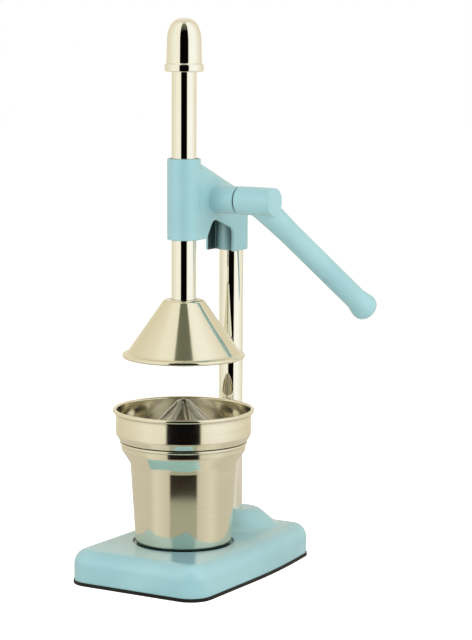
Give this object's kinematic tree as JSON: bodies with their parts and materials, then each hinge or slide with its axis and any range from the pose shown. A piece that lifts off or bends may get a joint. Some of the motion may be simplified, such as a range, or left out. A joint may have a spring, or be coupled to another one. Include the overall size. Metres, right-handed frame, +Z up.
{
  "type": "lever citrus press",
  "caption": "Stand-mounted citrus press: a side lever turns a pinion that drives a racked ram and cone down onto a reamer in a strainer over a lift-off juice cup.",
  "frame": {"origin": "on the underside of the rubber mat, under the axis of the ram and the cup", "axes": "+Z up along the ram, -Y the front, the column stands at +Y, +X the lever's side"},
  "size_m": [0.1785, 0.2037, 0.4524],
  "materials": {
    "enamel": "glossy pale blue enamel",
    "chrome": "polished chrome plate",
    "spun_steel": "satin spun stainless steel",
    "rubber": "matt black rubber",
    "screw_steel": "zinc plated steel",
    "gear_steel": "machined steel, oiled",
    "bronze": "sintered bronze",
    "polymer": "black acetal",
    "cast_aluminium": "polished cast aluminium"
  },
  "bodies": {
    "stand": {"base_casting": "enamel", "base_mat": "rubber", "mat_screws": "screw_steel", "column_tube": "chrome", "column_lower_plug": "screw_steel", "column_upper_plug": "screw_steel", "column_washer": "screw_steel", "column_bolt": "screw_steel", "head_casting": "enamel", "head_set_screws": "screw_steel", "ram_bush_upper": "polymer", "ram_bush_lower": "polymer", "shaft_bush_right": "bronze", "shaft_bush_left": "bronze"},
    "lever": {"pinion_gear": "gear_steel", "gear_key": "gear_steel", "pinion_shaft": "gear_steel", "shaft_washer": "screw_steel", "retaining_ring": "screw_steel", "hub_washer": "polymer", "lever_casting": "enamel", "lever_set_screw": "screw_steel"},
    "ram": {"ram_tube": "chrome", "ram_rack": "gear_steel", "ram_end_plug": "screw_steel", "ram_top_plug": "screw_steel", "cap_stud": "screw_steel", "ram_cap": "chrome", "press_cone": "spun_steel", "cone_washer": "screw_steel", "cone_screw": "screw_steel"},
    "cup_set": {"cup": "spun_steel", "strainer_bowl": "spun_steel", "reamer": "cast_aluminium", "reamer_screw": "screw_steel"}
  },
  "joints": [
    {"name": "lever_turn", "type": "hinge", "parent": "stand", "child": "lever", "pos_m": [0, 0.0265, 0.307], "axis": [1, 0, 0], "range_deg": [-150, 200]},
    {"name": "ram_slide", "type": "slide", "parent": "stand", "child": "ram", "axis": [0, 0, 1], "range_m": [-0.063, 0.0475]},
    {"name": "cup_draw", "type": "slide", "parent": "stand", "child": "cup_set", "axis": [0, -0.9511, 0.309], "range_m": [0, 0.15]}
  ],
  "couplings": [
    {"joint": "ram_slide", "follows": "lever_turn", "m_per_rad": -0.018}
  ]
}
